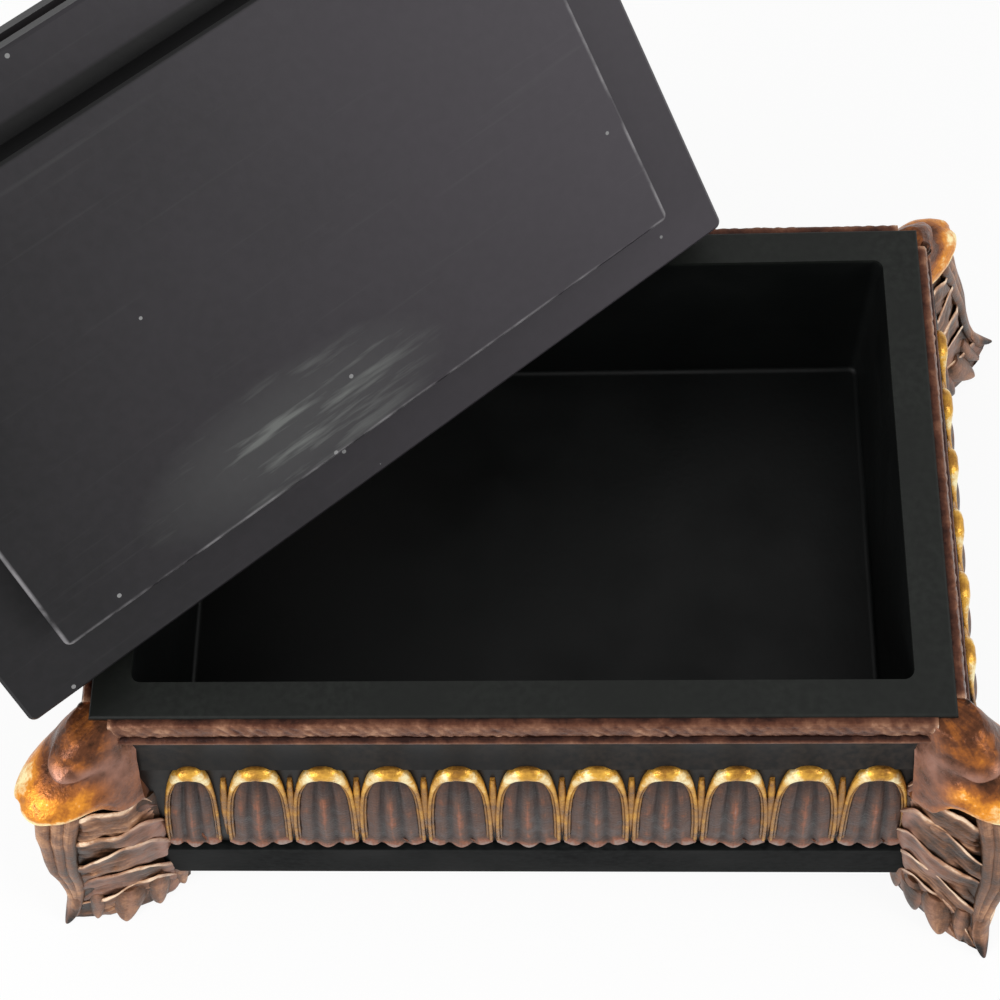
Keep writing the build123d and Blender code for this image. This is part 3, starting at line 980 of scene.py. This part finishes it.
def make_leaflet(foot, side, number, edge, half, droop, reach_share, rng):
    """One blade from the keel to a rounded lobe at the margin, its upper edge curled out."""
    phase = rng.uniform(0, 6)
    bright = rng.uniform(-0.08, 0.08)
    bend = rng.uniform(1.1, 2.1)
    edge += rng.uniform(-0.7, 0.7)
    reach_share += rng.uniform(-0.02, 0.02)

    def place(u, v):
        height, lift, tone = loop_point(leaflet_section, v)
        lobe = math.sqrt(max(0.0, 1 - 0.97 * ease(u, 0.78, 1.0) ** 2))
        spread = (0.78 + 0.22 * ease(u, 0.0, 0.4)) * lobe
        middle = edge - 0.88 * half - foot.droop * droop * u ** 2.2
        middle += foot.sweep * (0.35 - (1 - u) ** 1.3) - 6.0 * (1 - u) ** 3
        middle += bend * math.sin(phase + 5 * u) + 0.45 * math.sin(2 * phase + 13 * u)
        start = 0.45 * rib_start(middle)
        t = side * along(start, reach_share, u)
        wave = height + 0.12 * math.sin(5 * u + phase)
        fold = 0.3 * math.sin(7.5 * math.pi * wave) * hump(height, -0.05, 0.5) * (lift > 0.8)
        end = ease(u, 0.84, 1.0)
        curl = (0.6 + 0.4 * ease(u, 0.0, 0.3)) * (0.55 + 0.45 * lobe)
        z = max(sole, middle + half * spread * height)
        knead = 1.4 * ripple(5 * u, 1.5 * height, number + 7.3 * side + phase)
        knead += 0.3 * ripple(14 * u, 3 * height, phase)
        swell = 0.7 * hump(u, 0.88, 0.08) + knead
        if number == 0:
            swell -= 2.8 * ease(u, 0.6, 0.86)
        point = leaf_spot(foot, t, z, (lift + fold) * curl + swell * (lift > 0.2))
        # The first rosy term is a painted pinkish highlight on the lobe, the second rosy tarnish at
        # random
        # bright is a random shift; the lobe's front gets a painted highlight and the blade painted
        # shade where it leaves the ribs
        glow = bright + (0.16 * end - 0.1 * hump(u, 0.1, 0.12)) * (lift > 1)
        rosy = 0.55 * hump(u, 0.9, 0.1) + 0.45 * hump(math.sin(2.3 * phase + 4 * u), 1, 0.5)
        return point, tone + glow + 0.35 * fold + 0.16 * knead, rosy
    return make_loft("leaflet", 44, 34, place, bronze, number * 0.37 + side)


def rounded(thick, thin, pace):
    """A radius that swells from a rounded end and thins from there on."""
    return lambda u: (thick - thin * u) * math.sqrt(min(1.0, 0.04 + pace * u))


def make_rib(foot, lean):
    """One of the long ribs that gather on the keel."""
    def path(u):
        z = hood_lip - 0.5 - (hood_lip - sole - 2.5) * u
        t = lean * (z - sole) / rib_span + 0.012 * math.sin(7 * u + 9 * lean)
        lift = 1.1 + 0.5 * math.sin(5 * u + 4 * lean) - 3 * abs(lean) * (1 - u)
        return leaf_spot(foot, t, z, lift)
    return make_tube(
        "rib", path, rounded(1.95, 1.0, 14), 40, 12, bronze,
        lambda u, lit: 0.4 + 0.22 * lit + 0.1 * math.sin(9 * u + 5 * lean),
        lambda u: Vector((foot.x, foot.y, 0.3)), lean,
    )


def make_core(foot):
    """The leaf's solid core, down to the flat sole."""
    columns = 28

    def place(u, v):
        column = round(v * (columns + 2))
        t = max(-1.0, min(1.0, -1 + 2 * (column - 1) / columns))
        top = hood_lip + 2 - 13 * ease(abs(t), 0.5, 0.9)
        z = along(top, sole, u)
        # The core's low tone is painted shade where it shows between the leaflets
        if column in (0, columns + 2):
            return foot_inside(foot, z), 0.05
        return leaf_spot(foot, t, z, -0.2 + 1.2 * hump(t, 0, 0.3)), 0.2
    return make_loft("core", 20, columns + 2, place, bronze)


def make_toe(foot, t, lift, width, tone):
    """A lobe that spreads to a blunt point on the sole."""
    def place(u, v):
        z = sole + toe_height * (1 - u)
        angle = 2 * math.pi * v
        girth = width * math.sqrt(max(0.0, math.sin(math.pi * (0.1 + 0.88 * u)))) * (1 - 0.3 * u)
        centre = leaf_spot(foot, t, z, 0.4 + lift * u * u)
        across = (leaf_spot(foot, t + 0.02, z, 0) - leaf_spot(foot, t - 0.02, z, 0)).normalized()
        forward = Vector((-across.y, across.x, 0))
        forward *= 1 if forward.dot(Vector((foot.x, foot.y, 0))) > 0 else -1
        girth *= 1 + 0.12 * math.cos(3 * angle)
        point = centre + girth * (math.sin(angle) * across + 0.5 * math.cos(angle) * forward)
        point.z = max(sole, point.z)
        # The forward face is lighter, a painted highlight; the ridges between furrows are lighter
        # and rosier
        furrow = math.cos(3 * angle)
        return point, tone(u) + 0.12 * math.cos(angle) + 0.1 * furrow, 0.4 * hump(furrow, 1, 0.4)
    return make_loft("toe", 18, 16, place, bronze, t)


def make_leaf(place_name, foot):
    """An acanthus leaf bent over a corner: its core, ribs, leaflets and toes."""
    rng = random.Random(place_name)
    parts = [make_core(foot)]
    for side in (-1, 1):
        for number, (edge, half, droop, reach_share) in enumerate(leaflets):
            parts.append(make_leaflet(foot, side, number, edge, half, droop, reach_share, rng))
    for lean in rib_leans:
        parts.append(make_rib(foot, lean))
    parts.append(make_toe(foot, 0.0, 2.4, 2.4, lambda u: 0.5 - 0.48 * ease(u, 0.5, 0.8)))
    for side in (-1, 1):
        for t, lift, width, heel, rise in toes:
            parts.append(make_toe(foot, side * t, lift, width, lambda u: heel + rise * u))
    return join_pieces(f"{place_name}_acanthus", parts)


# The hood's share of its widest reach at each share of its height, down from its top
hood_profile = [(0, 0.42), (0.18, 0.62), (0.38, 0.86), (0.62, 0.96), (1.0, 0.98)]


def make_hood(place_name, foot):
    """The smooth gilt hood over a corner: a bulb, a soft crease and a rolled lip."""
    columns = 60

    def place(u, v):
        column = round(v * (columns + 2))
        inside = column in (0, columns + 2)
        t = 0.0 if inside else -0.86 + 1.8 * (column - 1) / columns
        w = max(0.0, (u - 0.2) / 0.8)
        drop = hood_top - hood_lip + 4.0 * ease(-t, 0.5, 0.84) + 10.0 * ease(t, 0.42, 0.94)
        drop += 0.9 * abs(math.sin(3.1 * math.pi * t + 0.6)) * ease(w, 0.6, 1.0)
        z = hood_top - drop * w + 0.7 * (1 - min(1.0, u / 0.2) ** 2)
        if inside:
            return foot_inside(foot, z), 0.3
        waver = 0.1 * math.sin(3.0 * t + 0.5)
        skirt = ease(t, 0.42, 0.75)
        crease = hump(w, 0.43 + waver, 0.07) * ease(t, -0.38, -0.02)
        crease *= 1 - 0.85 * ease(t, 0.25, 0.6)
        bulb = hump(w, 0.16, 0.14) * (1 - 0.8 * ease(-t, 0.0, 0.4))
        ridge = hump(w, 0.29 + waver, 0.07) * hump(t, 0.2, 0.26)
        roll = hump(w, 0.76, 0.17) * (1 - 0.7 * skirt) * (1 - 0.5 * ease(-t, 0.1, 0.5))
        fold = hump(t, 0.16 - 0.3 * w, 0.05) * ease(w, 0.55, 0.95)
        side = 0.3 + 0.18 * skirt * ease(w, 0.2, 1.0)
        share = side + (1 - side) * (1 - t * t) ** 1.8
        reach = foot.hood * hood_widest * read_profile(hood_profile, drop * w / hood_height)
        reach *= share * min(1.0, u / 0.2)
        relief = 0.8 * bulb + 1.0 * roll + 0.9 * ridge - 2.0 * crease - 0.8 * fold
        reach += relief * (0.4 + 0.6 * share)
        reach -= 2.4 * ease(w, 0.9, 1.0)
        corner = foot.x + 2 * foot.y
        lumps = ripple(3 * t, 4 * w, corner)
        lumps += 0.5 * ripple(8 * t, 9 * w, corner)
        reach += 0.6 * lumps
        # The crease, the folds and the lip's underside get painted shade; the gold band below the
        # crease is the hood's own colour
        # The ridge with its rosy blush, a cream band on the end's side and a line along the roll
        # near the lip are painted highlights
        tone = 0.3 + 0.06 * bulb + 0.1 * ridge - 0.06 * skirt
        tone += 0.4 * ease(w, 0.45, 0.68) * (1 - 0.8 * skirt)
        tone += 0.26 * hump(t, -0.22, 0.16) * ease(w, 0.3, 0.6) + 0.2 * hump(w, 0.88, 0.05)
        tone -= 0.22 * crease + 0.2 * fold + 0.4 * ease(w, 0.95, 1.0) - 0.06 * lumps
        rosy = 1.1 * ridge + 0.42 * skirt + 0.5 * hump(w, 0.45, 0.12) * ease(t, 0.2, 0.5)
        return foot_spot(foot, t, z, reach), tone, rosy
    hood = make_loft("hood", 50, columns + 2, place, gilt, foot.x + 0.4 * foot.y, 60)

    def curl(u):
        spin = 1.2 + 4.6 * u
        size = 1.9 * (1 - 0.6 * u)
        centre = Vector((foot.x * (half_length + 2.2), foot.y * (half_width - 2.6), rim_top - 4.2))
        outward = Vector((foot.x, 0.4 * foot.y, 0)).normalized()
        return centre + size * (math.cos(spin) * outward + math.sin(spin) * Vector((0, 0, 1)))
    knob = make_tube(
        "knob", curl, rounded(1.35, 0.7, 9), 26, 12, gilt,
        lambda u, lit: 0.16 + 0.1 * lit,
        lambda u: Vector((-0.4 * foot.x, foot.y, 0)),
    )
    return join_pieces(f"{place_name}_hood", [hood, knob])


for place_name, foot in feet.items():
    settle(make_leaf(place_name, foot), "box", f"{place_name}_leaf")
    settle(make_hood(place_name, foot), "box", f"{place_name}_shoulder")


# The lid's dressed pieces, drawn in its own frame
strip_outer = -5.0
strip_inner = -9.4
core_half_length = 74.4
core_half_width = 45.15
strip_lap = 6.0
cushion_foot = -15.6
cushion_top = -29.6
cushion_half_length = 74.6
cushion_half_width = 45.35
crown_half_length = 35.0
crown_half_width = 12.0
gadroons = 44
collar_seat = cushion_top + 0.4
collar_petals = 12
finial_seat = -33.1
finial_tip = -55.1
scale_rows = 9
scales_round = 9


def lid_strip_section():
    """A copper strip's section: a flat face to the flange and a leafed roll outside."""
    middle = (strip_outer + strip_inner) / 2
    section = [(0.0, strip_outer - 0.05, 0.2, 0), (4.2, strip_outer - 0.05, 0.25, 0)]
    for step in range(11):
        angle = math.pi * step / 10
        section.append((
            4.3 + 1.5 * math.sin(angle), middle + 2.1 * math.cos(angle), 0.45, math.sin(angle),
        ))
    section.append((0.0, strip_inner + 0.05, 0.1, 0))
    return section


def rope_relief(x, z):
    """Small slanted leaves along the strip."""
    lean = x + 0.9 * (z - strip_inner)
    return 0.3 * abs(math.sin(math.pi * lean / 3.0)) - 0.15 + 0.12 * ripple(x, z, 2)


lid_strips = {
    "lid_lower_strip": (0, core_half_width, core_half_length + strip_lap),
    "lid_right_strip": (90, core_half_length, core_half_width),
    "lid_upper_strip": (180, core_half_width, core_half_length + strip_lap),
    "lid_left_strip": (270, core_half_length, core_half_width),
}
for node, (turn, distance, half) in lid_strips.items():
    strip = make_strip(
        f"{node}_copper", half, lid_strip_section(), int(half * 3), copper, rope_relief, turn,
    )
    strip.data.transform(lid_matrix @ to_wall(turn, distance))
    settle(strip, "lid", node)


def cushion_place(u, v):
    """The lid's swelling top: a hipped cushion of leaf-like gadroons under a smooth crown."""
    angle = 2 * math.pi * v
    x, y = math.cos(angle), math.sin(angle)
    rise = u ** 1.25
    half_x = along(cushion_half_length, crown_half_length, rise)
    half_y = along(cushion_half_width, crown_half_width, rise)
    bow = 3.2 * math.sin(math.pi * min(1.0, u * 1.05))
    power = 7.0 - 4.0 * u
    scale = (abs(x) ** power + abs(y) ** power) ** (-1 / power)
    lobes = abs(math.sin(gadroons / 2 * angle))
    fade = ease(u, 0.02, 0.12) * (1 - ease(u, 0.68, 0.86))
    rib = 1.9 * (lobes ** 0.6 - 0.8) * fade * (1 - 0.45 * u)
    reach = Vector(((half_x + bow) * x * scale, (half_y + bow) * y * scale, 0))
    reach += reach.normalized() * rib
    reach.z = along(cushion_foot, cushion_top, math.sin(math.pi / 2 * u) ** 1.15)
    crest = hump(lobes, 1.0, 0.25) * fade
    border = hump(u, 0.8, 0.03) + 0.8 * hump(u, 0.02, 0.03)
    valley = fade * hump(lobes, 0.0, 0.35)
    return reach, 0.3 + 0.34 * crest + 0.4 * border - 0.28 * valley, 0.15 * crest


cushion = make_loft("lid_cushion_gadroons", 48, 8 * gadroons, cushion_place, bronze, 0.2, 50)
cushion.data.transform(lid_matrix)
settle(cushion, "lid", "lid_cushion")


def collar_place(u, v):
    """A ring of short petals under the finial."""
    angle = 2 * math.pi * v
    petal = abs(math.cos(collar_petals / 2 * angle))
    reach = 8.2 + 2.2 * math.sin(math.pi * (0.1 + 0.75 * u)) * (0.75 + 0.25 * petal)
    z = along(collar_seat, finial_seat, u)
    return (reach * math.cos(angle), reach * math.sin(angle), z), 0.4 + 0.35 * petal - 0.25 * u


# The bud's radius at each share of the way from its seat to its tip
finial_profile = [
    (0.0, 6.4), (0.07, 6.2), (0.18, 3.7), (0.34, 5.5), (0.5, 7.7), (0.64, 7.4), (0.82, 4.8),
    (0.94, 2.0), (1.0, 0.3),
]


def finial_place(u, v):
    """A leafy bud: rows of overlapping pointed scales over a waisted foot."""
    angle = 2 * math.pi * v
    row = (u - 0.26) * scale_rows
    shift = math.pi / scales_round * (math.floor(row) % 2)
    scale = abs(math.cos(scales_round / 2 * (angle + shift)))
    depth = row - math.floor(row)
    leafy = ease(u, 0.24, 0.3) * (1 - ease(u, 0.95, 1.0))
    lift = leafy * 0.75 * (scale ** 0.6) * (1 - depth) - 0.3 * leafy
    reach = max(0.2, read_profile(finial_profile, u, ease) + lift)
    z = along(finial_seat, finial_tip, u)
    tone = 0.42 + leafy * (0.45 * scale * (1 - depth) - 0.25 * depth) + 0.25 * hump(u, 0.04, 0.04)
    return (reach * math.cos(angle), reach * math.sin(angle), z), tone


for node, place, rings, around in (
    ("finial_collar", collar_place, 14, 96),
    ("finial", finial_place, 90, 90),
):
    piece = make_loft(f"{node}_gilt", rings, around, place, gilt, 0.7, 60)
    piece.data.transform(lid_matrix)
    settle(piece, "lid", node)


# Finishes of the frame's own nodes
finishes = {
    rim_black: ["box_body"],
    plinth_black: ["plinth"],
    cove_black: [f"{side}_cove" for side in walls],
    lid_black: ["lid_panel", "lid_plug", "lid_core", "lid_cornice"],
    board_black: ["base_board"],
    felt_black: ["base_felt"],
}
for material, names in finishes.items():
    for name in names:
        nodes[name].data.materials.clear()
        nodes[name].data.materials.append(material)

scene.view_settings.view_transform = "Standard"
make_camera()
make_world(0.55)
make_lamp("left_softbox", (-0.8, -0.7, 0.6), 8)
make_lamp("right_softbox", (1.0, -0.3, 0.8), 6)
make_floor()
